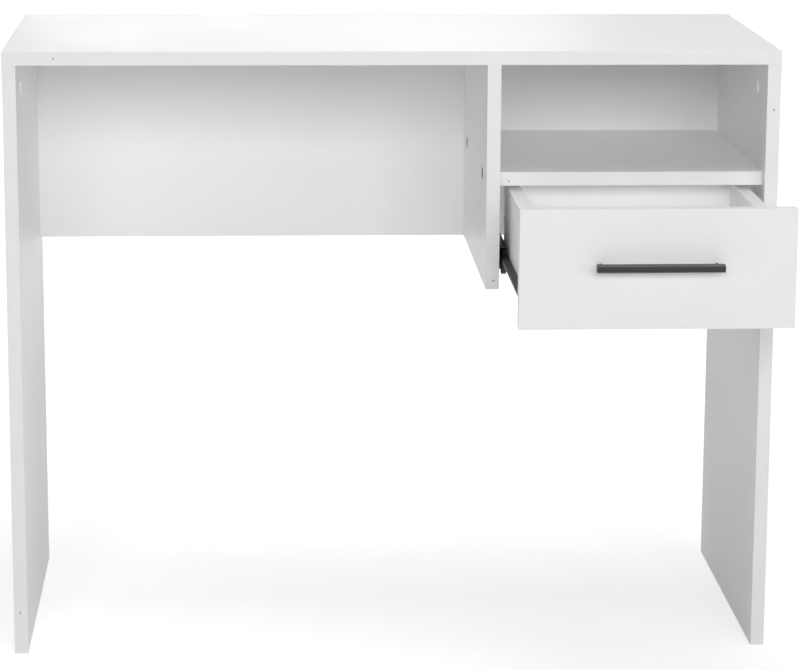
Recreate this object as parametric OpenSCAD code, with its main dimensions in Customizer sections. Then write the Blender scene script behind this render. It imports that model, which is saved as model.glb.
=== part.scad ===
// Small writing desk: two side panels, a desktop, a back panel and a divider in
// white faced chipboard, with an open compartment over one drawer that runs on
// roller runners. +Z is up, the front faces -Y, millimetres.

/* [Desk] */
// Overall width
desk_w = 900; // [800:10:1100]
// Overall depth
desk_d = 400; // [390:5:560]
// Overall height
desk_h = 720; // [680:5:780]
// Thickness of every faced board
board = 16; // [15.5:0.5:18]
// Height of the back panel and the divider below the desktop
upper_h = 264; // [260:2:300]
// How far the back panel is set in from the rear edges
back_recess = 28; // [10:2:28]

/* [Drawer bay] */
// Clear width between the divider and the right side panel
bay_w = 310; // [290:5:380]
// Clear height of the open compartment above the shelf
niche_h = 128; // [110:2:130]
// Gap between the closed drawer front and what lies behind it
close_gap = 2; // [1:0.5:4]
// Gap at each side of the drawer front
side_reveal = 2; // [1:0.5:4]
// Gap below and above the drawer front, to the edges it lines up with
end_reveal = 1; // [0.5:0.5:3]

/* [Drawer] */
// Length of the drawer box and its runners
box_len = 300; // [250:5:310]
// How much of the drawer box stays in the bay when it is fully run out
box_stay = 69; // [66:1:150]
// Lower edge of the drawer sides above the lower edge of the drawer front
box_lift = 18; // [16:1:20]
// Free height between the drawer sides and the shelf
drawer_top_gap = 6; // [4:1:9]
// Runner space at each side of the drawer box
runner_gap = 12.5; // [12.5:0.1:13.5]
// Thickness of the drawer bottom
bottom_t = 3; // [2.5:0.5:4]
// Depth of the groove that holds the drawer bottom
groove_d = 6; // [4:0.5:8]
// Height of the groove above the lower edge of the drawer sides
groove_up = 12; // [8:1:14]

/* [Handle] */
// Length of the bar
handle_l = 140; // [136:1:180]
// Height of the bar's section
handle_h = 8; // [7:0.5:12]
// Depth of the bar's section
handle_t = 12; // [8:0.5:14]
// Free depth between the bar and the drawer front
handle_gap = 14; // [10:1:24]
// Distance between the two handle screws
handle_pitch = 128; // [96:1:128]
// Middle of the handle above the middle of the drawer front
handle_rise = 5; // [0:1:20]
// Diameter of the handle's posts
post_d = 6; // [5.5:0.5:7]
// Diameter of the handle screws
handle_screw_d = 4; // [3:0.5:4]

/* [Runners] */
// Sheet thickness of the runner profiles
sheet = 1; // [0.8:0.1:1.2]
// Diameter of the runner rollers
roller_d = 22; // [20:0.5:23]
// Width of the runner rollers
roller_w = 6; // [5:0.5:6]
// Diameter of the roller rivets
rivet_d = 5; // [4:0.5:6]
// Height of the drawer rail from its foot to its running flange
rail_h = 17; // [16:0.5:18]
// Width of the drawer rail's foot under the drawer side
rail_foot = 13; // [12:0.5:15]
// Height of the stop that the rear roller meets when the drawer is run out
stop_h = 4; // [3:0.5:5]

/* [Fittings] */
// Diameter of the cam locks
cam_d = 15; // [14:0.5:16]
// Depth of the cam locks
cam_t = 12.5; // [12:0.5:13.5]
// Distance from a joint to the middle of its cam lock
cam_reach = 34; // [30:1:36]
// Diameter of the cam bolts
cam_bolt_d = 6; // [5:0.5:7]
// Length of the cam bolts' thread in the other board
cam_thread = 11; // [9:0.5:12]
// Diameter of the wooden dowels
dowel_d = 8; // [6:1:8]
// Length of the wooden dowels
dowel_l = 28; // [20:1:30]
// Front and rear fittings of the side panels, from the panel's edges
fitting_inset = 64; // [50:1:80]
// Lower fittings at the ends of the back panel, from its lower edge
back_low_inset = 34; // [30:1:50]
// Upper fittings at the ends of the back panel, from the desktop
back_top_inset = 68; // [60:1:80]
// Rear shelf fitting, from the back panel
shelf_inset = 49; // [40:1:70]
// Diameter of the confirmat screws' core
confirmat_d = 5; // [4:0.5:6]
// Length of the confirmat screws
confirmat_l = 50; // [40:1:50]
// Depth of the recess that the divider's and the back panel's confirmat heads lie in
head_sink = 2; // [1.5:0.5:3]
// Diameter of the caps on cams and confirmat heads
cap_d = 15; // [13:0.5:18]

/* [Hidden] */
$fn = 48;

eps = 0.01;           // overshoot of cutting tools
fit = 0.1;            // clearance of fittings in their bores
run = 0.05;           // clearance of rollers on their rivets and of screws in their holes
run_gap = 0.3;        // clearance between moving pieces

// Carcass
half_w = desk_w / 2;
leg_h = desk_h - board;
inner_x = half_w - board;
panel_z = leg_h - upper_h;
back_y1 = desk_d - back_recess;
back_y0 = back_y1 - board;
back_mid = (back_y0 + back_y1) / 2;
bay_x1 = inner_x;
bay_x0 = bay_x1 - bay_w;
bay_mid = (bay_x0 + bay_x1) / 2;
divider_mid = bay_x0 - board / 2;
shelf_z1 = leg_h - niche_h;
shelf_z0 = shelf_z1 - board;
shelf_mid = (shelf_z0 + shelf_z1) / 2;
bay_y0 = board + close_gap;

// Drawer, in its closed place; it is stored fully run out
drawer_travel = box_len - box_stay;
front_x0 = bay_x0 + side_reveal;
front_x1 = bay_x1 - side_reveal;
front_z0 = panel_z + end_reveal;
front_z1 = shelf_z1 - end_reveal;
box_x0 = bay_x0 + runner_gap;
box_x1 = bay_x1 - runner_gap;
box_y1 = board + box_len;
box_z0 = front_z0 + box_lift;
box_z1 = shelf_z0 - drawer_top_gap;
bottom_z = box_z0 + groove_up;
handle_z = (front_z0 + front_z1) / 2 + handle_rise;
handle_reach = handle_gap + handle_t;
handle_edge = 1;                                // broken edges of the bar
post_z = handle_z - 1;
post_sides = [-handle_pitch / 2, handle_pitch / 2];

// Runners; u is the distance from the bay's wall
roller_r = roller_d / 2;
roller_edge = 0.6;                              // broken edges of the rollers
front_inset = 2;                                // from the runner's front end to the front roller
rear_inset = 1;                                 // from the rear roller to the box's rear face
flange_z = box_z0 + rail_h - sheet;             // underside of the drawer rail's running flange
front_axle_y = bay_y0 + roller_r + front_inset;
front_axle_z = flange_z - run_gap - roller_r;
rear_axle_y = box_y1 - roller_r - rear_inset;
channel_z0 = flange_z - run_gap * 2 - roller_r; // top of the channel's floor
channel_z1 = channel_z0 + roller_d + run_gap * 2;
channel_cut_y = front_axle_y + roller_r + front_inset;
rear_axle_z = channel_z0 + run_gap + roller_r;
channel_u = runner_gap - 2 * sheet;             // reach of the channel's flanges
flange_u = 3;                                   // outer edge of the running flange
flange_end_y = rear_axle_y - roller_r - rear_inset;
lip_h = 1.5;                                    // turned-in lips of the channel
guide_h = 2;                                    // turned-down lip of the running flange
front_roller_gap = 0.9;                         // from the front roller to the drawer rail's wall
front_roller_u = runner_gap - sheet - front_roller_gap - roller_w;
rear_roller_u = channel_u - sheet - run_gap - roller_w;
rail_y0 = board + rear_inset;
rail_end_y = bay_y0 + box_len;
stop_u = channel_u - sheet - run_gap;           // reach of the stops across the channel
stop_y = rear_axle_y - drawer_travel - run_gap
    - sqrt(pow(roller_r, 2) - pow(roller_r + run_gap - stop_h, 2));
rivet_head_r = rivet_d / 2 + 1.5;
rivet_head_t = 0.8;
hub_r = rivet_d / 2 + 2.5;
rim_t = 2;                                      // wall round the recess in a roller's face
recess_t = 1.4;
tab_r = 8;
cabinet_hub_l = front_roller_u - sheet - run_gap;
drawer_hub_l = runner_gap - sheet - run_gap - rear_roller_u - roller_w;
cabinet_rivet_u = front_roller_u + roller_w - recess_t + fit;
drawer_rivet_u = rear_roller_u + recess_t - fit;

// Runner screws
rail_screw_r = 1.75;
rail_screw_l = 13;
rail_screw_head_r = 3.4;
rail_screw_head_t = 1.2;
screw_slot_w = 1;
screw_slot_t = 0.6;
wall_screw_inset = [37, 30];                    // first and last screw from the cabinet rail's ends
foot_screw_inset = 40;                          // the same for the drawer rail's foot
foot_screw_x = box_x0 + rail_foot / 2;
cabinet_screw_y = thirds(bay_y0 + wall_screw_inset[0], rail_end_y - wall_screw_inset[1]);
foot_screw_y = thirds(board + foot_screw_inset, box_y1 - foot_screw_inset);

// Cam locks, their bolts and the confirmat screws
cam_play = 1;              // free space round a bolt in its drilling and in its cam
cam_wall = 3;
cam_slot_l = 8;
cam_slot_w = 1.4;
cam_slot_t = 2.5;
bolt_head_l = 3;
bolt_neck_l = 5;
bolt_neck_r = cam_bolt_d / 2 - 1;
bolt_core_r = cam_bolt_d / 2 - 0.5;
confirmat_head_r = confirmat_d / 2 + 2.5;
confirmat_head_t = 3;
confirmat_neck_r = confirmat_d / 2 + 1;
confirmat_key = 4;
confirmat_key_t = 2.5;
cap_t = 1.2;
cap_edge = 1;              // width of a cap's sloping rim
cap_rim_t = 0.5;           // height of a cap's upright rim
dowel_edge = 1;            // broken ends of the dowels

// Handle screws
handle_head_r = handle_screw_d / 2 + 2;
handle_head_t = 2;
handle_screw_tip = 3;      // from the screw's tip to the bar
post_floor = 2;            // from the drilling in a post to the bar
cross_l = 5;
cross_w = 1;
cross_t = 1.2;

// Places of the fittings
dowel_step = 32;           // distance from a cam lock to the dowel beside it
back_screw_step = 68;      // lowest screw of the divider above its lower edge, and highest from its top
drawer_fitting_up = 24;    // lowest fitting of the drawer box above its lower edge
drawer_fitting_step = 28;
fitting_z = [for (i = [0:2]) box_z0 + drawer_fitting_up + i * drawer_fitting_step];

// Middle of the stored part, front to back, with the drawer run out
mid_y = (desk_d - drawer_travel - handle_reach) / 2;

// Every cam joint: the point on the joint's plane, the bolt's direction and the cam's open side
leg_y = [fitting_inset, desk_d - fitting_inset];
divider_y = [fitting_inset, back_y0 - shelf_inset];
back_end_z = [panel_z + back_low_inset, leg_h - back_top_inset];
left_top_cams = [for (y = leg_y) [[-half_w + board / 2, y, leg_h], [0, 0, 1], [1, 0, 0]]];
right_top_cams = [for (y = leg_y) [[half_w - board / 2, y, leg_h], [0, 0, 1], [-1, 0, 0]]];
divider_top_cams = [for (y = divider_y) [[divider_mid, y, leg_h], [0, 0, 1], [1, 0, 0]]];
back_top_cams = [for (x = [-half_w / 2, 0]) [[x, back_mid, leg_h], [0, 0, 1], [0, 1, 0]]];
left_back_cams = [for (z = back_end_z) [[-inner_x, back_mid, z], [-1, 0, 0], [0, 1, 0]]];
right_back_cams = [for (z = back_end_z) [[inner_x, back_mid, z], [1, 0, 0], [0, 1, 0]]];
shelf_cams = [for (y = divider_y) [[bay_x1, y, shelf_mid], [1, 0, 0], [0, 0, -1]]];
top_cams = concat(left_top_cams, right_top_cams, divider_top_cams, back_top_cams);
capped_cams = concat(left_top_cams, right_top_cams, divider_top_cams);
all_cams = concat(top_cams, left_back_cams, right_back_cams, shelf_cams);
drawer_cams = [
    [[box_x0 + board / 2, board, fitting_z[1]], [0, -1, 0], [1, 0, 0]],
    [[box_x1 - board / 2, board, fitting_z[1]], [0, -1, 0], [-1, 0, 0]]
];

// Every dowel: its middle on the joint's plane and its direction
left_top_dowels = [for (y = [leg_y[0] + dowel_step, leg_y[1] - dowel_step])
    [[-half_w + board / 2, y, leg_h], [0, 0, 1]]];
right_top_dowels = [for (y = [leg_y[0] + dowel_step, leg_y[1] - dowel_step])
    [[half_w - board / 2, y, leg_h], [0, 0, 1]]];
divider_top_dowels = [[[divider_mid, divider_y[0] + dowel_step, leg_h], [0, 0, 1]]];
back_top_dowels = [for (x = [-half_w / 2, 0]) [[x + dowel_step, back_mid, leg_h], [0, 0, 1]]];
left_back_dowels = [[[-inner_x, back_mid, back_end_z[0] + dowel_step], [1, 0, 0]]];
right_back_dowels = [[[inner_x, back_mid, back_end_z[0] + dowel_step], [1, 0, 0]]];
top_dowels = concat(left_top_dowels, right_top_dowels, divider_top_dowels, back_top_dowels);
all_dowels = concat(top_dowels, left_back_dowels, right_back_dowels);
drawer_dowel_ends = [for (x = [box_x0 + board / 2, box_x1 - board / 2], z = [fitting_z[0], fitting_z[2]])
    [[x, board, z], [0, 1, 0]]];

// Every confirmat: the point on the joint's plane, the way it is driven and its recess's depth
shelf_confirmats = [for (y = divider_y) [[bay_x0, y, shelf_mid], [1, 0, 0], head_sink]];
back_confirmats = [for (z = [panel_z + back_screw_step, leg_h - back_screw_step])
    [[divider_mid, back_y0, z], [0, -1, 0], head_sink]];
back_screw_joints = [for (z = [fitting_z[0], fitting_z[1]])
    [[box_x0 + board, box_y1 - board / 2, z], [1, 0, 0], 0]];

// First, middle and last of three equal steps
function thirds(first, last) = [first, (first + last) / 2, last];

// ---------------------------------------------------------------- placing

// Puts the desk's front lower edge line into the part's frame
module in_frame() translate([0, -mid_y, 0]) children();

// Runs the drawer out to its stored place
module run_out() translate([0, -drawer_travel, 0]) children();

// The same piece on the other wall of the drawer bay
module opposite() translate([2 * bay_mid, 0, 0]) mirror([1, 0, 0]) children();

// Turns X along the given direction and Z along the given side
module aim(at, along, side) {
    third = cross(side, along);
    multmatrix([
        [along[0], third[0], side[0], at[0]],
        [along[1], third[1], side[1], at[1]],
        [along[2], third[2], side[2], at[2]],
        [0, 0, 0, 1]
    ]) children();
}

// A cylinder along +X from x0 to x1
module rod(r, x0, x1) translate([x0, 0, 0]) rotate([0, 90, 0]) cylinder(r = r, h = x1 - x0);

// A block between two corners
module block(low, high) translate(low) cube(high - low);

// Any direction square to the given axis
function square_to(along) = abs(along[2]) > 0.5 ? [1, 0, 0] : [0, 0, 1];

// ---------------------------------------------------------------- fittings

// Bore for the cam and drilling for its bolt, in the board that holds the cam
module cam_bores(joints) for (j = joints) aim(j[0], j[1], j[2]) {
    translate([-cam_reach, 0, board / 2 - cam_t - fit]) cylinder(d = cam_d + 2 * fit, h = cam_t + fit + eps);
    rod(cam_bolt_d / 2 + cam_play, -cam_reach, eps);
}

// Threaded hole for a cam bolt, in the other board
module bolt_pilots(joints) for (j = joints) aim(j[0], j[1], j[2])
    rod(bolt_core_r + run, -eps, cam_thread + fit);

module dowel_holes(joints) for (j = joints) aim(j[0], j[1], square_to(j[1]))
    rod(dowel_d / 2 + run, -dowel_l / 2 - fit, dowel_l / 2 + fit);

// Countersunk clearance hole, under a recess where it has one, in the board that a confirmat
// passes through
module confirmat_holes(joints) for (j = joints) aim(j[0], j[1], square_to(j[1])) {
    rod(confirmat_neck_r + run, -board - eps, eps);
    rod(confirmat_head_r + run, -board - eps, j[2] - board + confirmat_head_t);
    if (j[2] > 0) rod(cap_d / 2 + fit, -board - eps, j[2] - board);
}

// Pilot hole in the edge that the confirmat is driven into
module confirmat_pilots(joints) for (j = joints) aim(j[0], j[1], square_to(j[1]))
    rod(confirmat_d / 2 + run, -eps, j[2] - board + confirmat_l + fit);

// Cross-shaped driver slot cut down from z = 0
module cross_slot(length, width, depth) for (a = [0, 90]) rotate([0, 0, a])
    block([-length / 2, -width / 2, -depth], [length / 2, width / 2, eps]);

// Hollow drum with a cross slot in its face and a mouth for the bolt's head
module cam(joint) aim(joint[0], joint[1], joint[2]) translate([-cam_reach, 0, board / 2])
    difference() {
        translate([0, 0, -cam_t]) cylinder(d = cam_d, h = cam_t);
        cross_slot(cam_slot_l, cam_slot_w, cam_slot_t);
        translate([cam_wall - cam_d / 2, -cam_bolt_d / 2 - cam_play, -board / 2 - cam_bolt_d / 2 - cam_play])
            cube([cam_d, cam_bolt_d + 2 * cam_play, cam_bolt_d + 2 * cam_play]);
    }

// Bolt with a wood thread, a collar at the joint, a neck and a head inside the cam
module cam_bolt(joint) aim(joint[0], joint[1], joint[2]) {
    neck_x = bolt_head_l - cam_reach;
    rod(cam_bolt_d / 2, -cam_reach, neck_x);
    rod(bolt_neck_r, neck_x, neck_x + bolt_neck_l);
    rod(cam_bolt_d / 2, neck_x + bolt_neck_l, 0);
    rod(bolt_core_r, 0, cam_thread);
}

// Plastic cap with a sloping rim, standing on z = 0
module cap() rotate_extrude() polygon([
    [0, 0], [cap_d / 2, 0], [cap_d / 2, cap_rim_t], [cap_d / 2 - cap_edge, cap_t], [0, cap_t]
]);

module cam_cap(joint) aim(joint[0], joint[1], joint[2]) translate([-cam_reach, 0, board / 2]) cap();

module dowel(joint) aim(joint[0], joint[1], square_to(joint[1])) rotate([0, 90, 0]) rotate_extrude()
    polygon([
        [0, -dowel_l / 2], [dowel_d / 2 - dowel_edge, -dowel_l / 2], [dowel_d / 2, dowel_edge - dowel_l / 2],
        [dowel_d / 2, dowel_l / 2 - dowel_edge], [dowel_d / 2 - dowel_edge, dowel_l / 2], [0, dowel_l / 2]
    ]);

// Confirmat with a socket head, a plain neck and a pointed core
module confirmat(joint) aim(joint[0], joint[1], square_to(joint[1]))
    translate([joint[2] - board, 0, 0]) difference() {
        union() {
            rod(confirmat_head_r, 0, confirmat_head_t);
            rod(confirmat_neck_r, confirmat_head_t, board - joint[2]);
            rod(confirmat_d / 2, board - joint[2], confirmat_l);
        }
        translate([-eps, 0, 0]) rotate([0, 90, 0]) cylinder(d = confirmat_key, h = confirmat_key_t, $fn = 6);
    }

module confirmat_cap(joint) aim(joint[0], joint[1], square_to(joint[1]))
    translate([joint[2] - board, 0, 0]) rotate([0, -90, 0]) cap();

// ---------------------------------------------------------------- carcass

module desktop() color("white") in_frame() difference() {
    block([-half_w, 0, leg_h], [half_w, desk_d, desk_h]);
    bolt_pilots(top_cams);
    dowel_holes(top_dowels);
}

module left_side_panel() color("white") in_frame() difference() {
    block([-half_w, 0, 0], [-inner_x, desk_d, leg_h]);
    cam_bores(left_top_cams);
    dowel_holes(concat(left_top_dowels, left_back_dowels));
    bolt_pilots(left_back_cams);
}

module right_side_panel() color("white") in_frame() difference() {
    block([inner_x, 0, 0], [half_w, desk_d, leg_h]);
    cam_bores(right_top_cams);
    dowel_holes(concat(right_top_dowels, right_back_dowels));
    bolt_pilots(concat(right_back_cams, shelf_cams));
    opposite() rail_screw_pilots();
}

module divider_panel() color("white") in_frame() difference() {
    block([bay_x0 - board, 0, panel_z], [bay_x0, back_y0, leg_h]);
    cam_bores(divider_top_cams);
    dowel_holes(divider_top_dowels);
    confirmat_holes(shelf_confirmats);
    confirmat_pilots(back_confirmats);
    rail_screw_pilots();
}

module back_panel() color("white") in_frame() difference() {
    block([-inner_x, back_y0, panel_z], [inner_x, back_y1, leg_h]);
    cam_bores(concat(back_top_cams, left_back_cams, right_back_cams));
    dowel_holes(concat(back_top_dowels, left_back_dowels, right_back_dowels));
    confirmat_holes(back_confirmats);
}

module shelf() color("white") in_frame() difference() {
    block([bay_x0, bay_y0, shelf_z0], [bay_x1, back_y0, shelf_z1]);
    cam_bores(shelf_cams);
    confirmat_pilots(shelf_confirmats);
}

module cam_locks() color("silver") in_frame() for (j = all_cams) cam(j);
module cam_bolts() color("silver") in_frame() for (j = all_cams) cam_bolt(j);
module cam_caps() color("whitesmoke") in_frame() for (j = capped_cams) cam_cap(j);
module wooden_dowels() color("burlywood") in_frame() for (j = all_dowels) dowel(j);
module confirmat_screws() color("silver") in_frame()
    for (j = concat(shelf_confirmats, back_confirmats)) confirmat(j);
module confirmat_caps() color("whitesmoke") in_frame() for (j = back_confirmats) confirmat_cap(j);

// ---------------------------------------------------------------- runners

// Extrudes a section drawn as [u, z] points along the desk's depth
module profile(y0, y1) translate([bay_x0, y1, 0]) rotate([90, 0, 0]) linear_extrude(y1 - y0) children();

// Places a piece drawn along +X on a roller's axle
module on_axle(y, z) translate([bay_x0, y, z]) children();

// Bent channel on the bay's wall: cut back at its front for the roller that it carries there
module cabinet_rail() difference() {
    union() {
        profile(bay_y0, rail_end_y) polygon([
            [0, channel_z0 - sheet], [channel_u, channel_z0 - sheet],
            [channel_u, channel_z0 + lip_h], [channel_u - sheet, channel_z0 + lip_h],
            [channel_u - sheet, channel_z0], [sheet, channel_z0],
            [sheet, channel_z1], [channel_u - sheet, channel_z1],
            [channel_u - sheet, channel_z1 - lip_h], [channel_u, channel_z1 - lip_h],
            [channel_u, channel_z1 + sheet], [0, channel_z1 + sheet]
        ]);
        on_axle(front_axle_y, front_axle_z) rod(tab_r, 0, sheet);
        for (y = [stop_y - sheet, rail_end_y - sheet]) translate([bay_x0, y, channel_z0 - eps])
            cube([stop_u, sheet, stop_h + eps]);
    }
    block([bay_x0 + sheet, bay_y0 - eps, channel_z0 - sheet - eps],
        [bay_x0 + runner_gap, channel_cut_y, channel_z0 + lip_h + eps]);
    on_axle(front_axle_y, front_axle_z) rod(rivet_d / 2 + run, -eps, sheet + eps);
    for (y = cabinet_screw_y) on_axle(y, rear_axle_z) rod(rail_screw_r + fit, -eps, sheet + eps);
}

// Drawer rail: foot under the drawer side, wall beside it, running flange over the front roller
module drawer_rail() difference() {
    union() {
        profile(rail_y0, flange_end_y) polygon([
            [runner_gap + rail_foot, box_z0 - sheet], [runner_gap + rail_foot, box_z0],
            [runner_gap, box_z0], [runner_gap, flange_z + sheet],
            [flange_u, flange_z + sheet], [flange_u, flange_z - guide_h],
            [flange_u + sheet, flange_z - guide_h], [flange_u + sheet, flange_z],
            [runner_gap - sheet, flange_z], [runner_gap - sheet, box_z0 - sheet]
        ]);
        profile(flange_end_y - eps, box_y1) polygon([
            [runner_gap + rail_foot, box_z0 - sheet], [runner_gap + rail_foot, box_z0],
            [runner_gap, box_z0], [runner_gap, rear_axle_z + tab_r],
            [runner_gap - sheet, rear_axle_z + tab_r], [runner_gap - sheet, box_z0 - sheet]
        ]);
    }
    on_axle(rear_axle_y, rear_axle_z) rod(rivet_d / 2 + run, 0, runner_gap + eps);
    for (y = foot_screw_y) translate([foot_screw_x, y, box_z0 - sheet - eps])
        cylinder(r = rail_screw_r + fit, h = sheet + 2 * eps);
}

// Moulded roller, its hub towards -X and a recess for the rivet's head towards +X
module roller(hub_l) rotate([0, 90, 0]) rotate_extrude() polygon([
    [rivet_d / 2 + run, -hub_l], [hub_r, -hub_l], [hub_r, 0], [roller_r - roller_edge, 0],
    [roller_r, roller_edge], [roller_r, roller_w - roller_edge], [roller_r - roller_edge, roller_w],
    [roller_r - rim_t, roller_w], [roller_r - rim_t, roller_w - recess_t],
    [rivet_d / 2 + run, roller_w - recess_t]
]);

// Rivet from a runner's wall through a roller's bore, drawn along +X with its head in the recess
module rivet(length) {
    rod(rivet_d / 2, -length, 0);
    rod(rivet_head_r, 0, rivet_head_t);
}

module cabinet_roller() on_axle(front_axle_y, front_axle_z)
    translate([front_roller_u, 0, 0]) roller(cabinet_hub_l);
module cabinet_rivet() on_axle(front_axle_y, front_axle_z)
    translate([cabinet_rivet_u, 0, 0]) rivet(cabinet_rivet_u);
module drawer_roller() on_axle(rear_axle_y, rear_axle_z)
    translate([rear_roller_u + roller_w, 0, 0]) mirror([1, 0, 0]) roller(drawer_hub_l);
module drawer_rivet() on_axle(rear_axle_y, rear_axle_z)
    translate([drawer_rivet_u, 0, 0]) mirror([1, 0, 0]) rivet(runner_gap - drawer_rivet_u);

// Slotted flat-head screw along -X, its head's seat at x = 0
module rail_screw() difference() {
    union() {
        rod(rail_screw_r, -rail_screw_l, 0);
        rod(rail_screw_head_r, 0, rail_screw_head_t);
    }
    block([rail_screw_head_t - screw_slot_t, -rail_screw_head_r, -screw_slot_w / 2],
        [rail_screw_head_t + eps, rail_screw_head_r, screw_slot_w / 2]);
}

module wall_screws() for (y = cabinet_screw_y) on_axle(y, rear_axle_z)
    translate([sheet, 0, 0]) rail_screw();
module rail_screw_pilots() for (y = cabinet_screw_y) on_axle(y, rear_axle_z)
    rod(rail_screw_r + run, -rail_screw_l + sheet - fit, eps);
module foot_screws() for (y = foot_screw_y) translate([foot_screw_x, y, box_z0 - sheet])
    rotate([0, 90, 0]) rail_screw();
module foot_screw_pilots() for (y = foot_screw_y) translate([foot_screw_x, y, box_z0 - eps])
    cylinder(r = rail_screw_r + run, h = rail_screw_l - sheet + fit);

module left_cabinet_rail() color("dimgray") in_frame() cabinet_rail();
module right_cabinet_rail() color("dimgray") in_frame() opposite() cabinet_rail();
module left_cabinet_roller() color("black") in_frame() cabinet_roller();
module right_cabinet_roller() color("black") in_frame() opposite() cabinet_roller();
module cabinet_roller_rivets() color("silver") in_frame() {
    cabinet_rivet();
    opposite() cabinet_rivet();
}
module cabinet_rail_screws() color("silver") in_frame() {
    wall_screws();
    opposite() wall_screws();
}

module left_drawer_rail() color("dimgray") in_frame() run_out() drawer_rail();
module right_drawer_rail() color("dimgray") in_frame() run_out() opposite() drawer_rail();
module left_drawer_roller() color("black") in_frame() run_out() drawer_roller();
module right_drawer_roller() color("black") in_frame() run_out() opposite() drawer_roller();
module drawer_roller_rivets() color("silver") in_frame() run_out() {
    drawer_rivet();
    opposite() drawer_rivet();
}
module drawer_rail_screws() color("silver") in_frame() run_out() {
    foot_screws();
    opposite() foot_screws();
}

// ---------------------------------------------------------------- drawer

// Groove round the drawer for its bottom, as deep as the bottom's edge plus a little play
module bottom_slot() block([box_x0 + board - groove_d, board - groove_d, bottom_z - fit],
    [box_x1 - board + groove_d, box_y1 - board + groove_d, bottom_z + bottom_t + fit]);

module drawer_front() color("white") in_frame() run_out() difference() {
    block([front_x0, 0, front_z0], [front_x1, board, front_z1]);
    bottom_slot();
    bolt_pilots(drawer_cams);
    dowel_holes(drawer_dowel_ends);
    for (x = post_sides) translate([bay_mid + x, -eps, post_z])
        rotate([-90, 0, 0]) cylinder(d = handle_screw_d + 2 * fit, h = board + 2 * eps);
}

module drawer_side() difference() {
    block([box_x0, board, box_z0], [box_x0 + board, box_y1, box_z1]);
    bottom_slot();
    cam_bores(drawer_cams);
    dowel_holes(drawer_dowel_ends);
    confirmat_holes(back_screw_joints);
    foot_screw_pilots();
}

module drawer_left_side() color("white") in_frame() run_out() drawer_side();
module drawer_right_side() color("white") in_frame() run_out() opposite() drawer_side();

module drawer_back() color("white") in_frame() run_out() difference() {
    block([box_x0 + board, box_y1 - board, box_z0], [box_x1 - board, box_y1, box_z1]);
    bottom_slot();
    confirmat_pilots(back_screw_joints);
    opposite() confirmat_pilots(back_screw_joints);
}

module drawer_bottom() color("whitesmoke") in_frame() run_out()
    block([box_x0 + board - groove_d + fit, board - groove_d + fit, bottom_z],
        [box_x1 - board + groove_d - fit, box_y1 - board + groove_d - fit, bottom_z + bottom_t]);

module drawer_cam_locks() color("silver") in_frame() run_out() for (j = drawer_cams) cam(j);
module drawer_cam_bolts() color("silver") in_frame() run_out() for (j = drawer_cams) cam_bolt(j);
module drawer_dowels() color("burlywood") in_frame() run_out() for (j = drawer_dowel_ends) dowel(j);
module drawer_back_screws() color("silver") in_frame() run_out() {
    for (j = back_screw_joints) confirmat(j);
    opposite() for (j = back_screw_joints) confirmat(j);
}

// Square-edged bar with broken edges on two round posts
module handle() color("dimgray") in_frame() run_out() difference() {
    union() {
        translate([bay_mid - handle_l / 2, -handle_reach, handle_z - handle_h / 2])
            rotate([90, 0, 90]) linear_extrude(handle_l)
            polygon([
                [0, handle_edge], [handle_edge, 0], [handle_t - handle_edge, 0], [handle_t, handle_edge],
                [handle_t, handle_h - handle_edge], [handle_t - handle_edge, handle_h],
                [handle_edge, handle_h], [0, handle_h - handle_edge]
            ]);
        for (x = post_sides) translate([bay_mid + x, -handle_gap - eps, post_z])
            rotate([-90, 0, 0]) cylinder(d = post_d, h = handle_gap + eps);
    }
    for (x = post_sides) translate([bay_mid + x, -handle_gap + post_floor, post_z])
        rotate([-90, 0, 0]) cylinder(d = handle_screw_d + 2 * run, h = handle_gap);
}

// Pan-head screws from inside the drawer, through its front and into the posts
module handle_screws() color("silver") in_frame() run_out()
    for (x = post_sides) translate([bay_mid + x, board, post_z]) rotate([-90, 0, 0]) difference() {
        union() {
            translate([0, 0, handle_screw_tip - board - handle_gap])
                cylinder(d = handle_screw_d, h = board + handle_gap - handle_screw_tip);
            cylinder(r = handle_head_r, h = handle_head_t);
        }
        translate([0, 0, handle_head_t]) cross_slot(cross_l, cross_w, cross_t);
    }

desktop();
left_side_panel();
right_side_panel();
divider_panel();
back_panel();
shelf();
cam_locks();
cam_bolts();
cam_caps();
wooden_dowels();
confirmat_screws();
confirmat_caps();
left_cabinet_rail();
right_cabinet_rail();
cabinet_rail_screws();
cabinet_roller_rivets();
left_cabinet_roller();
right_cabinet_roller();
drawer_front();
drawer_left_side();
drawer_right_side();
drawer_back();
drawer_bottom();
drawer_cam_locks();
drawer_cam_bolts();
drawer_dowels();
drawer_back_screws();
left_drawer_rail();
right_drawer_rail();
drawer_rail_screws();
drawer_roller_rivets();
left_drawer_roller();
right_drawer_roller();
handle();
handle_screws();
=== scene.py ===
"""A small white writing desk with one drawer run out, dressed for a studio picture.

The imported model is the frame, in metres: +Z is up and the front faces -Y. The sections follow
the desk as it is put together, from the studio that it stands in to the handle on its drawer.
"""

import math

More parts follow.
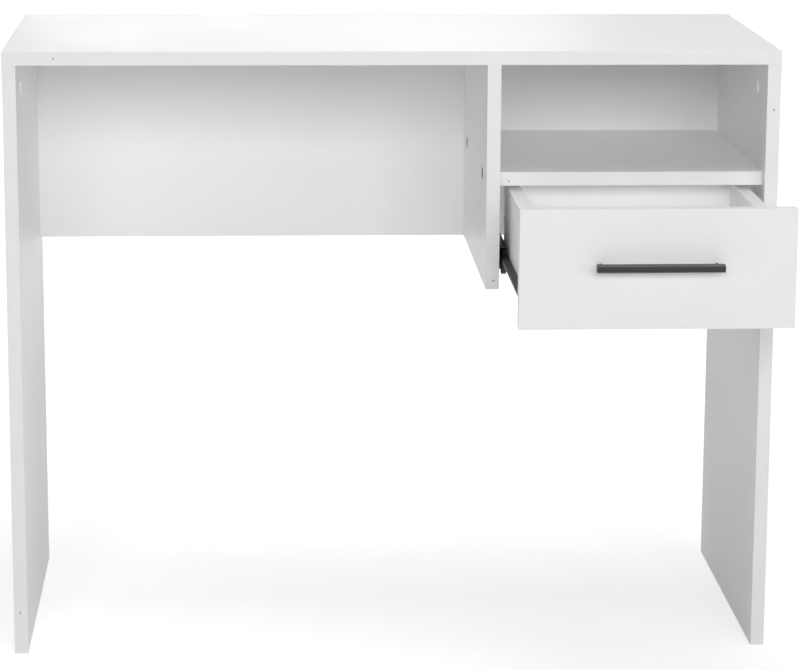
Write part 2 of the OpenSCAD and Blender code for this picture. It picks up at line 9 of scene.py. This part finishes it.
import bmesh
import bpy
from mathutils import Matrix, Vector


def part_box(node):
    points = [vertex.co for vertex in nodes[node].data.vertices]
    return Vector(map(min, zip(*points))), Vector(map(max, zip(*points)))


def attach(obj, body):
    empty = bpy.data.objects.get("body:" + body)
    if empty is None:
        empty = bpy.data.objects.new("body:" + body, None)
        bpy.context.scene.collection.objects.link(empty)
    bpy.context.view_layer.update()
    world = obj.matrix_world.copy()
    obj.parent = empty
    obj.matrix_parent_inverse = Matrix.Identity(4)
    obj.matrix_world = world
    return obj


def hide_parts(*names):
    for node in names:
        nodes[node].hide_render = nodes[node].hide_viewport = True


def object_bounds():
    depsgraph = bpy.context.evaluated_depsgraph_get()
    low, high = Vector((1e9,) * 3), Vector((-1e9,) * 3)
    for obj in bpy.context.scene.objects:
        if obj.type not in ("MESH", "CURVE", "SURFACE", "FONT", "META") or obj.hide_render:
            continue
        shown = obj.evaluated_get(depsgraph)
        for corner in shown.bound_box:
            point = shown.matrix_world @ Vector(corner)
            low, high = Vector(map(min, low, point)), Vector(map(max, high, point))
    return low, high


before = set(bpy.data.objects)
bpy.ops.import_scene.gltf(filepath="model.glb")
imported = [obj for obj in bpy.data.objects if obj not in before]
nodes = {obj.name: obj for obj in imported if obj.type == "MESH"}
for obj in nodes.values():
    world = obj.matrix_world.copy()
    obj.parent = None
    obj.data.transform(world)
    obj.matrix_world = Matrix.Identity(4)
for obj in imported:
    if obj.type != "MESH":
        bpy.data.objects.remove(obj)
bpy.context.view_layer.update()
low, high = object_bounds()

# ---------------------------------------------------------------- studio
# A camera a little above the desk and left of its middle, with a long lens. Soft boxes overhead,
# in front and all round light it at a plain level, over a pale floor that runs out to white. The
# light may bounce often enough to fill the white compartment.

camera_data = bpy.data.cameras.new("camera")
camera_data.lens = 132.9
camera = bpy.data.objects.new("camera", camera_data)
camera.location = (-0.1734, -3.4965, 1.1311)
camera.rotation_euler = [math.radians(turn) for turn in (77.747, -0.298, -3.067)]
bpy.context.scene.collection.objects.link(camera)
bpy.context.scene.camera = camera
bpy.context.scene.view_settings.view_transform = "Standard"
bpy.context.scene.cycles.diffuse_bounces = 12
bpy.context.scene.cycles.max_bounces = 16


def soft_box(name, place, aim, width, height, power):
    """An area lamp at a place, turned to a point."""
    lamp = bpy.data.lights.new(name, "AREA")
    lamp.shape, lamp.size, lamp.size_y, lamp.energy = "RECTANGLE", width, height, power
    box = bpy.data.objects.new(name, lamp)
    box.location = place
    box.rotation_euler = (Vector(aim) - Vector(place)).to_track_quat("-Z", "Y").to_euler()
    bpy.context.scene.collection.objects.link(box)


desk_middle = (low + high) / 2
soft_box("overhead_box", (0.2, 0.0, 3.2), (0.2, 0.1, high.z), 3.0, 2.6, 50)
soft_box("front_box", (0.0, -5.3, 2.2), desk_middle, 4.0, 1.4, 136)
soft_box("right_front_box", (3.2, -4.2, 1.4), desk_middle, 2.0, 1.6, 29)
soft_box("right_side_box", (4.2, 0.13, 1.2), desk_middle, 1.0, 1.0, 15)
soft_box("left_side_box", (-4.2, 0.13, 1.2), desk_middle, 1.0, 1.0, 15)
soft_box("right_rear_box", (2.6, 3.4, 0.9), desk_middle, 2.0, 1.6, 2)
soft_box("left_rear_box", (-2.6, 3.4, 0.9), desk_middle, 2.0, 1.6, 4)
soft_box("rear_box", (0.0, 5.2, 0.75), desk_middle, 1.6, 1.0, 42)


class Wire:
    """A socket of a node that can be added, multiplied and the like, like a number."""

    def __init__(self, finish, socket):
        self.finish, self.socket = finish, socket

    def _math(self, operation, first, second):
        return self.finish.node("ShaderNodeMath", {"operation": operation}, {0: first, 1: second})

    def __add__(self, other): return self._math("ADD", self, other)
    def __radd__(self, other): return self._math("ADD", other, self)
    def __sub__(self, other): return self._math("SUBTRACT", self, other)
    def __rsub__(self, other): return self._math("SUBTRACT", other, self)
    def __mul__(self, other): return self._math("MULTIPLY", self, other)
    def __rmul__(self, other): return self._math("MULTIPLY", other, self)


class Finish:
    """The nodes of a material or of the world, wired up one by one."""

    def __init__(self, owner):
        self.owner = owner
        owner.use_nodes = True
        self.tree = owner.node_tree
        self.tree.nodes.clear()

    def node(self, kind, settings=None, inputs=None, out=0):
        """Adds a node: its settings first, then the values or wires of its sockets."""
        made = self.tree.nodes.new(kind)
        for name, value in (settings or {}).items():
            if name == "stops":
                ramp = made.color_ramp
                while len(ramp.elements) < len(value):
                    ramp.elements.new(0.5)
                for stop, (at, colour) in zip(ramp.elements, value):
                    stop.position, stop.color = at, (*colour, 1)
            else:
                setattr(made, name, value)
        for name, value in (inputs or {}).items():
            if isinstance(value, Wire):
                self.tree.links.new(value.socket, made.inputs[name])
            else:
                made.inputs[name].default_value = value
        return Wire(self, made.outputs[out])

    def place(self, stretch=(1, 1, 1)):
        """Object coordinates, stretched along an axis."""
        at = self.node("ShaderNodeTexCoord", out="Object")
        return self.node("ShaderNodeMapping", inputs={"Vector": at, "Scale": stretch})

    def noise(self, scale, detail=2.0, stretch=(1, 1, 1)):
        """Soft noise from 0 to 1, with its scale in cells per metre."""
        return self.node("ShaderNodeTexNoise", inputs={
            "Vector": self.place(stretch), "Scale": scale, "Detail": detail})

    def ramp(self, value, stops):
        """A colour for each value from 0 to 1."""
        return self.node("ShaderNodeValToRGB", {"stops": stops}, {0: value})

    def blend(self, share, first, second):
        """A colour that goes from the first to the second as the share goes from 0 to 1."""
        return self.node("ShaderNodeMix", {"data_type": "RGBA"},
                         {0: share, 6: first, 7: second}, out=2)

    def spread(self, value, start, end, first, last):
        """Stretches the part of a value from start to end over first to last, and stops there."""
        return self.node("ShaderNodeMapRange", inputs={
            "Value": value, "From Min": start, "From Max": end, "To Min": first, "To Max": last})

    def bump(self, height, depth):
        """A normal that follows a height, with its depth in metres."""
        return self.node("ShaderNodeBump", inputs={
            "Height": height, "Distance": depth, "Strength": 1.0})

    def seen(self):
        """1 for the camera and for what mirrors the scene or lets it through, otherwise 0."""
        rays = [self.node("ShaderNodeLightPath", out=name) for name in
                ("Is Camera Ray", "Is Glossy Ray", "Is Transmission Ray")]
        return self.node("ShaderNodeMath", {"operation": "MINIMUM"},
                         {0: rays[0] + rays[1] + rays[2], 1: 1.0})

    def close(self, output, surface):
        """Wires a shader to the output."""
        self.tree.links.new(surface.socket, self.tree.nodes.new(output).inputs["Surface"])
        return self.owner

    def coat(self, colour, roughness, normal, **constants):
        """Closes a material with a principled surface."""
        inputs = {"Base Color": colour, "Roughness": roughness, "Normal": normal, **constants}
        return self.close("ShaderNodeOutputMaterial",
                          self.node("ShaderNodeBsdfPrincipled", inputs=inputs, out="BSDF"))


def new_finish(name):
    """An empty material."""
    return Finish(bpy.data.materials.new(name))


floor_reach = 30                # half the sheet's width
fade_start, fade_end = 0.8, 2.4    # from the desk's middle, where its shadow runs out to white


def make_floor():
    """A wide pale sheet. Its own light brings it up to white round the desk's soft shadow."""
    sheet = bmesh.new()
    bmesh.ops.create_grid(sheet, x_segments=1, y_segments=1, size=floor_reach)
    mesh = bpy.data.meshes.new("floor")
    sheet.to_mesh(mesh)
    sheet.free()
    floor = new_finish("floor_paper")
    paper = floor.node("ShaderNodeBsdfDiffuse", inputs={"Color": (0.92, 0.92, 0.92, 1)},
                       out="BSDF")
    out = floor.node("ShaderNodeVectorMath", {"operation": "LENGTH"}, {0: floor.place()},
                     out="Value")
    level = floor.ramp(floor.spread(out, fade_start, fade_end, 0.0, 1.0),
                       [(0.0, (0.50, 0.50, 0.50)), (1.0, (1.0, 1.0, 1.0))])
    glow = floor.node("ShaderNodeEmission", inputs={"Color": level, "Strength": 1.0})
    lit = floor.node("ShaderNodeAddShader", inputs={0: paper, 1: glow})
    mesh.materials.append(floor.close("ShaderNodeOutputMaterial", floor.node(
        "ShaderNodeMixShader", inputs={0: floor.seen(), 1: paper, 2: lit})))
    made = bpy.data.objects.new("floor", mesh)
    bpy.context.scene.collection.objects.link(made)


def make_world():
    """Faint even light from all round. The camera and every mirror see plain white there."""
    world = bpy.data.worlds.new("studio_air")
    bpy.context.scene.world = world
    air = Finish(world)
    dim = air.node("ShaderNodeBackground", inputs={"Color": (1, 1, 1, 1), "Strength": 0.03})
    white = air.node("ShaderNodeBackground", inputs={"Color": (1, 1, 1, 1), "Strength": 1.0})
    air.close("ShaderNodeOutputWorld",
              air.node("ShaderNodeMixShader", inputs={0: air.seen(), 1: dim, 2: white}))


make_floor()
make_world()

# ---------------------------------------------------------------- boards
# Every board is 16 mm chipboard faced with white melamine film, with a thin plastic band ironed
# onto its edges and trimmed flush. The drillings show the chipboard, darkened as painted shade.

faces_white = (0.91, 0.91, 0.91)
faces_shade = (0.895, 0.895, 0.895)
nick_core, nick_rim = 0.0014, 0.0028    # worn right through, and where the wear ends
nick_ragged = 0.0022                    # how far its outline strays


def melamine():
    """Faced board: an even satin white with the fine pearl of the press plate."""
    film = new_finish("white_melamine")
    cloud = film.noise(9, 3)
    pearl = film.noise(900, 2)
    colour = film.ramp(cloud, [(0.3, faces_shade), (0.7, faces_white)])
    gloss = film.spread(cloud, 0.3, 0.7, 0.40, 0.46) + film.spread(pearl, 0.3, 0.7, -0.03, 0.03)
    return film.coat(colour, gloss, film.bump(pearl, 0.00004))


def edge_band():
    """Plastic band: a touch smoother, with the scraper's fine lines and a few small nicks."""
    band = new_finish("white_edge_band")
    lines = band.noise(700, 2, stretch=(0.03, 0.03, 0.03))
    grain = band.noise(1600, 2)
    ragged = band.noise(900, 1) * nick_ragged
    front, shelf_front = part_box("desktop")[0].y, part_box("shelf")[0].y
    worn = 0.0
    for nick in ((-0.391, front, 0.7115), (0.1355, shelf_front, 0.5655), (0.1173, front, 0.4505),
                 (0.4419, front, 0.651), (-0.4425, front, 0.051)):
        away = band.node("ShaderNodeVectorMath", {"operation": "DISTANCE"},
                         {0: band.place(), 1: nick}, out="Value")
        worn = band.node("ShaderNodeMath", {"operation": "MAXIMUM"},
                         {0: worn, 1: band.spread(away + ragged, nick_core, nick_rim, 1.0, 0.0)})
    plain = band.ramp(lines, [(0.3, (0.885, 0.885, 0.885)), (0.7, (0.905, 0.905, 0.905))])
    colour = band.blend(worn, plain, (0.34, 0.33, 0.32, 1))
    gloss = band.spread(grain, 0.3, 0.7, 0.34, 0.44) + worn * 0.3
    return band.coat(colour, gloss, band.bump(grain * 0.1 - worn, 0.0003))


def chipboard_painted_dark():
    """The core in the drillings: brown flakes of mixed size, darkened by painted shade for the
    bores.
    """
    core = new_finish("chipboard_painted_dark")
    flakes = core.node("ShaderNodeTexVoronoi", {"feature": "F1"},
                       {"Vector": core.place((1, 1, 2.2)), "Scale": 420.0}, out="Color")
    fine = core.noise(1500, 3)
    shade = core.node("ShaderNodeRGBToBW", inputs={0: flakes})
    # The dark stops are painted shade: the bores' walls are set darker than chipboard's own tan.
    colour = core.ramp(shade, [(0.1, (0.05, 0.035, 0.025)), (0.5, (0.12, 0.09, 0.065)),
                               (0.9, (0.24, 0.18, 0.13))])
    return core.coat(colour, core.spread(fine, 0.2, 0.8, 0.75, 0.95), core.bump(fine, 0.0002))


board_finishes = [melamine(), edge_band(), chipboard_painted_dark()]
board_ease = 0.0004
touching = 0.00001              # two places this near are the same
squarely = 0.999                # a normal this long on an axis points along it


def merged(node):
    """A copy of a CAD node's mesh, with its loose triangles joined into flat faces."""
    shape = bmesh.new()
    shape.from_mesh(nodes[node].data)
    bmesh.ops.remove_doubles(shape, verts=shape.verts, dist=0.000001)
    bmesh.ops.dissolve_limit(shape, angle_limit=math.radians(0.5), verts=shape.verts,
                             edges=shape.edges, delimit=set())
    return shape


def piece(name, shape, finishes, body, slot, *replaced):
    """Makes a finished shape a piece that rides on a body and stands for its CAD nodes."""
    mesh = bpy.data.meshes.new(name)
    shape.to_mesh(mesh)
    shape.free()
    for finish in finishes:
        mesh.materials.append(finish)
    made = bpy.data.objects.new(name, mesh)
    bpy.context.scene.collection.objects.link(made)
    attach(made, body)
    if replaced:
        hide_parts(*replaced)
    return made


def board(node, body):
    """A board with its outer edges eased, faced on both sides and banded round its edges."""
    shape = merged(node)
    least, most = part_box(node)
    spans = most - least
    thin = min(range(3), key=lambda axis: spans[axis])

    def planes(vert):
        """The faces of the board's box that a corner lies on."""
        return {(axis, side) for axis in range(3) for side, limit in ((0, least), (1, most))
                if abs(vert.co[axis] - limit[axis]) < touching}

    rim = [edge for edge in shape.edges
           if len(planes(edge.verts[0]) & planes(edge.verts[1])) == 2]
    bmesh.ops.bevel(shape, geom=rim, offset=board_ease, offset_type="OFFSET", affect="EDGES",
                    segments=3, profile=0.5, material=-1, clamp_overlap=True)
    for face in shape.faces:
        centre = face.calc_center_median()
        on_box = any(abs(corner.co[axis] - limit[axis]) < touching
                     for axis in range(3) for limit in (least, most) for corner in face.verts)
        if abs(face.normal[thin]) > squarely and on_box:
            face.material_index = 0
        elif min(min(abs(centre[axis] - least[axis]), abs(centre[axis] - most[axis]))
                 for axis in range(3)) < board_ease:
            face.material_index = 1
        else:
            face.material_index = 2
    return piece(node + "_board", shape, board_finishes, body, "white_board", node)


for name in ("left_side_panel", "right_side_panel", "back_panel", "divider_panel", "shelf",
             "desktop"):
    board(name, "carcass")
for name in ("drawer_front", "drawer_left_side", "drawer_right_side", "drawer_back"):
    board(name, "drawer")

# ---------------------------------------------------------------- drawer bottom
# A sheet of 3 mm hardboard, lacquered white on the inside and bare brown underneath, slid into
# the groove round the drawer.


def hardboard_top():
    """Lacquered side: white over a faint fibre texture."""
    lacquer = new_finish("white_hardboard")
    fibre = lacquer.noise(350, 4)
    colour = lacquer.ramp(fibre, [(0.3, (0.88, 0.88, 0.875)), (0.7, (0.91, 0.91, 0.905))])
    return lacquer.coat(colour, lacquer.spread(fibre, 0.3, 0.7, 0.45, 0.55),
                        lacquer.bump(fibre, 0.00004))


def hardboard_back():
    """Bare side: brown pressed fibre."""
    bare = new_finish("brown_hardboard")
    fibre = bare.noise(600, 4, stretch=(0.5, 1, 1))
    colour = bare.ramp(fibre, [(0.25, (0.20, 0.11, 0.055)), (0.75, (0.36, 0.22, 0.12))])
    return bare.coat(colour, bare.spread(fibre, 0.2, 0.8, 0.7, 0.9), bare.bump(fibre, 0.0001))


bottom = merged("drawer_bottom")
bmesh.ops.bevel(bottom, geom=list(bottom.edges), offset=0.0003, offset_type="OFFSET",
                affect="EDGES", segments=1, profile=0.5, material=-1, clamp_overlap=True)
for face in bottom.faces:
    face.material_index = 0 if face.normal.z > 0.5 else 1
piece("drawer_bottom_sheet", bottom, [hardboard_top(), hardboard_back()], "drawer",
      "white_hardboard", "drawer_bottom")

# ---------------------------------------------------------------- fittings
# Die-cast cam locks, steel bolts and screws with a zinc coat, beech dowels, and white plastic
# caps pressed over the cams that would show, with crowns that stand a little proud.


def zinc():
    """Zinc plate: grey metal with a cloudy passivation."""
    plate = new_finish("zinc_plate")
    cloud = plate.noise(350, 3)
    grit = plate.noise(2600, 2)
    colour = plate.ramp(cloud, [(0.3, (0.34, 0.35, 0.37)), (0.7, (0.50, 0.51, 0.53))])
    return plate.coat(colour, plate.spread(cloud, 0.3, 0.7, 0.38, 0.54),
                      plate.bump(grit, 0.00003), Metallic=1.0)


def moulded_white():
    """Injection-moulded cap: white with a fine spark-eroded skin."""
    plastic = new_finish("white_plastic")
    skin = plastic.noise(2200, 2)
    colour = plastic.ramp(skin, [(0.3, (0.91, 0.91, 0.91)), (0.7, (0.94, 0.94, 0.94))])
    return plastic.coat(colour, plastic.spread(skin, 0.3, 0.7, 0.28, 0.40),
                        plastic.bump(skin, 0.00002))


def beech():
    """Turned beech: long pale rings with short darker flecks."""
    wood = new_finish("beech")
    rings = wood.noise(120, 3, stretch=(1, 1, 0.12))
    flecks = wood.noise(1500, 2, stretch=(1, 1, 0.2))
    colour = wood.ramp(rings * 0.7 + flecks * 0.3,
                       [(0.3, (0.48, 0.31, 0.17)), (0.7, (0.66, 0.48, 0.30))])
    return wood.coat(colour, wood.spread(flecks, 0.3, 0.7, 0.5, 0.7), wood.bump(flecks, 0.00005))


def eased(node, name, finish, body, slot, ease, least_turn=30):
    """A CAD node's shape with its sharp edges broken and its round walls smooth."""
    shape = merged(node)
    sharp = [edge for edge in shape.edges
             if len(edge.link_faces) == 2 and edge.calc_face_angle() > math.radians(least_turn)]
    bmesh.ops.bevel(shape, geom=sharp, offset=ease, offset_type="OFFSET", affect="EDGES",
                    segments=2, profile=0.5, material=-1, clamp_overlap=True)
    bmesh.ops.triangulate(shape, faces=[face for face in shape.faces if len(face.verts) > 4])
    made = piece(name, shape, [finish], body, slot, node)
    made.data.shade_smooth()
    made.data.set_sharp_from_angle(angle=math.radians(28))
    return made


zinc_plate, white_plastic, beech_wood = zinc(), moulded_white(), beech()
for node, body in (("cam_locks", "carcass"), ("cam_bolts", "carcass"),
                   ("confirmat_screws", "carcass"), ("cabinet_rail_screws", "carcass"),
                   ("cabinet_roller_rivets", "carcass"), ("drawer_cam_locks", "drawer"),
                   ("drawer_cam_bolts", "drawer"), ("drawer_back_screws", "drawer"),
                   ("drawer_rail_screws", "drawer"), ("drawer_roller_rivets", "drawer"),
                   ("handle_screws", "drawer")):
    eased(node, node + "_zinc", zinc_plate, body, "zinc", 0.00015)

# The crown of a cam cap stands this much prouder than the plain cap. Its rim stays on the board.
crown = 0.0009
cap_foot = 0.00025
cap_seats = ((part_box("left_side_panel")[1].x, 1), (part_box("divider_panel")[1].x, 1),
             (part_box("right_side_panel")[0].x, -1))
for node in ("cam_caps", "confirmat_caps"):
    caps = eased(node, node + "_white", white_plastic, "carcass", "white_plastic", 0.0002, 20)
    if node == "cam_caps":
        for vert in caps.data.vertices:
            seat, outward = min(cap_seats, key=lambda given: abs(vert.co.x - given[0]))
            if (vert.co.x - seat) * outward > cap_foot:
                vert.co.x += outward * crown
for node, body in (("wooden_dowels", "carcass"), ("drawer_dowels", "drawer")):
    eased(node, node + "_beech", beech_wood, body, "beech", 0.0003)

# ---------------------------------------------------------------- runners
# Roller runners in 1 mm sheet, folded on a brake and powder coated black. The channels are
# screwed to the divider and the right side panel, the drawer rails under the drawer's sides.


def powder_coat():
    """Powder coat: black with a soft orange peel."""
    powder = new_finish("black_powder_coat")
    peel = powder.noise(700, 2)
    cloud = powder.noise(40, 3)
    colour = powder.ramp(cloud, [(0.3, (0.012, 0.012, 0.013)), (0.7, (0.020, 0.020, 0.021))])
    return powder.coat(colour, powder.spread(peel, 0.3, 0.7, 0.38, 0.48),
                       powder.bump(peel, 0.00006))


runner_black = powder_coat()
for side in ("left", "right"):
    eased(side + "_cabinet_rail", side + "_cabinet_channel", runner_black, "carcass",
          "black_runner_steel", 0.0004)
    eased(side + "_drawer_rail", side + "_drawer_runner", runner_black, "drawer",
          "black_runner_steel", 0.0004)

# ---------------------------------------------------------------- rollers
# Four moulded nylon rollers turn on rivets: one at the front of each channel and one at the
# rear of each drawer rail.


def black_nylon():
    """Moulded nylon: black with faint flow marks."""
    nylon = new_finish("black_nylon")
    flow = nylon.noise(260, 2)
    colour = nylon.ramp(flow, [(0.3, (0.010, 0.010, 0.010)), (0.7, (0.020, 0.020, 0.020))])
    return nylon.coat(colour, nylon.spread(flow, 0.3, 0.7, 0.42, 0.55), nylon.bump(flow, 0.00003))


roller_black = black_nylon()
for side in ("left", "right"):
    for place in ("cabinet", "drawer"):
        eased(side + "_" + place + "_roller", side + "_" + place + "_wheel", roller_black,
              "roller_" + place + "_" + side, "black_plastic", 0.00025)

# ---------------------------------------------------------------- handle
# A square-edged aluminium bar, graphite black, on two round posts that are screwed on from
# inside the drawer. Its long edges are broken and carry a painted highlight, a paler lacquer.


def graphite(name, dark, pale):
    """Graphite lacquer over metal that was brushed along the bar."""
    paint = new_finish(name)
    brushed = paint.noise(900, 2, stretch=(0.02, 1, 1))
    cloud = paint.noise(60, 2)
    colour = paint.ramp(cloud * 0.6 + brushed * 0.4, [(0.35, dark), (0.65, pale)])
    return paint.coat(colour, paint.spread(brushed, 0.3, 0.7, 0.36, 0.50),
                      paint.bump(brushed, 0.00002), **{"Specular IOR Level": 0.35})


edge_slope = 0.35               # a face that leans this much both ways is a broken edge
handle_bar = eased("handle", "handle_bar",
                   graphite("graphite_lacquer", (0.011, 0.011, 0.012), (0.019, 0.019, 0.021)),
                   "drawer", "black_handle", 0.0003)
# A paler copy of the lacquer on the broken edges: a painted highlight, not worn lacquer.
handle_bar.data.materials.append(
    graphite("graphite_painted_edge_highlight", (0.080, 0.080, 0.082), (0.115, 0.115, 0.118)))
for face in handle_bar.data.polygons:
    if min(abs(face.normal.y), abs(face.normal.z)) > edge_slope:
        face.material_index = 1
